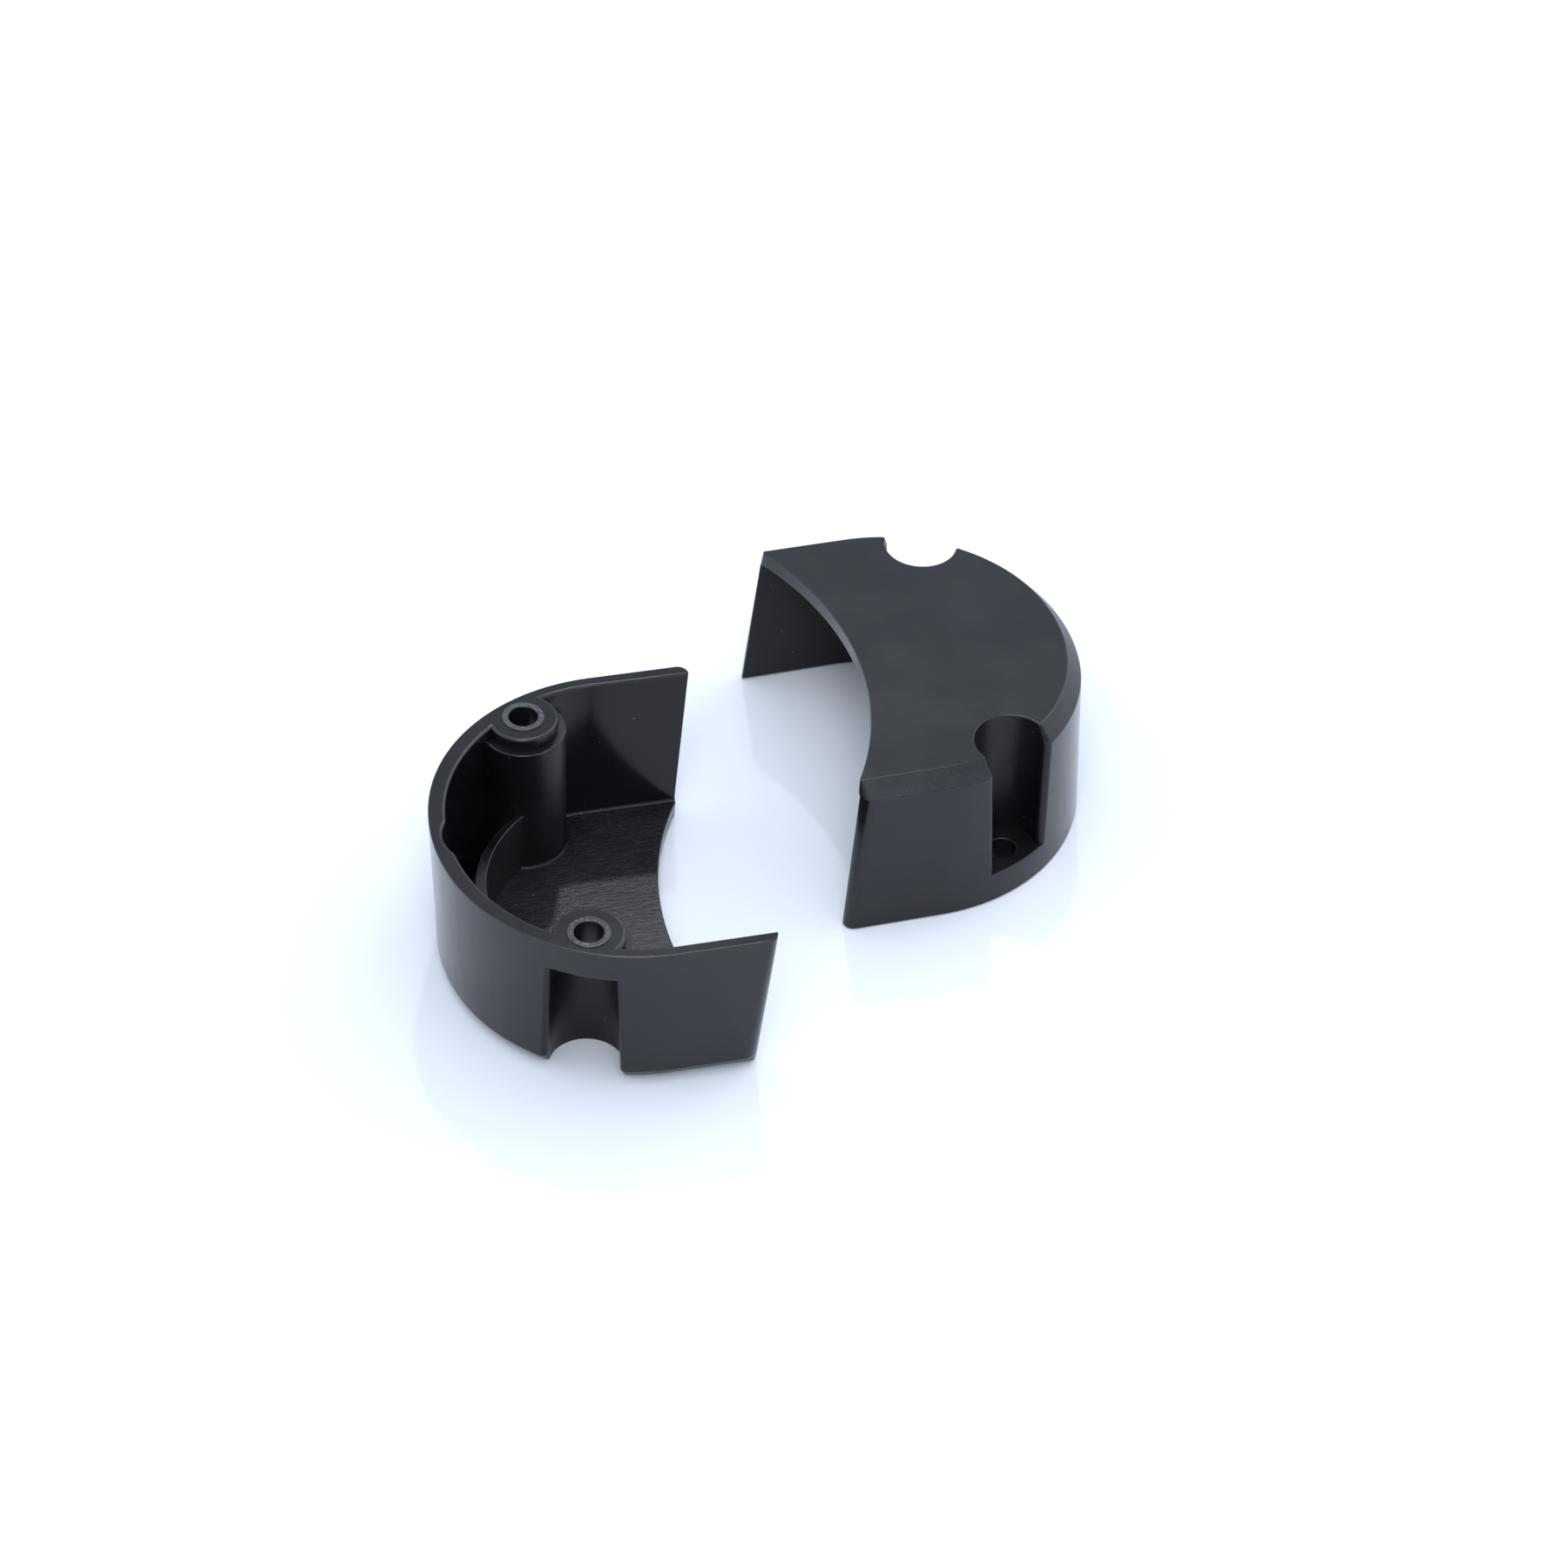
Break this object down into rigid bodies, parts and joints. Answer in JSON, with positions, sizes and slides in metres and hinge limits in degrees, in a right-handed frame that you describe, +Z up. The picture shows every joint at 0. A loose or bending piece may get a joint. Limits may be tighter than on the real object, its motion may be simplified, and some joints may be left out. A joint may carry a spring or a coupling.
{
  "type": "moulded bolt-on covers",
  "caption": "Matching D-shaped moulded plastic covers with a concave mouth, bolt bosses and bolt-head recesses open to the side, lying apart as loose parts.",
  "frame": {"origin": "middle of the pair's footprint, on the surface both covers lie on", "axes": "+X from the upturned cover towards the rim-down cover, along the upturned cover's mouth direction; +Z up"},
  "size_m": [0.108, 0.09, 0.0278],
  "materials": {
    "cover_plastic": "fine matt grain, satin sheen"
  },
  "bodies": {
    "upturned": {"upturned_cover": "cover_plastic"},
    "rim_down": {"rim_down_cover": "cover_plastic"}
  },
  "joints": [
    {"name": "rim_down_lift", "type": "slide", "parent": "upturned", "child": "rim_down", "axis": [0, 0, 1], "range_m": [0, 0.06]}
  ]
}
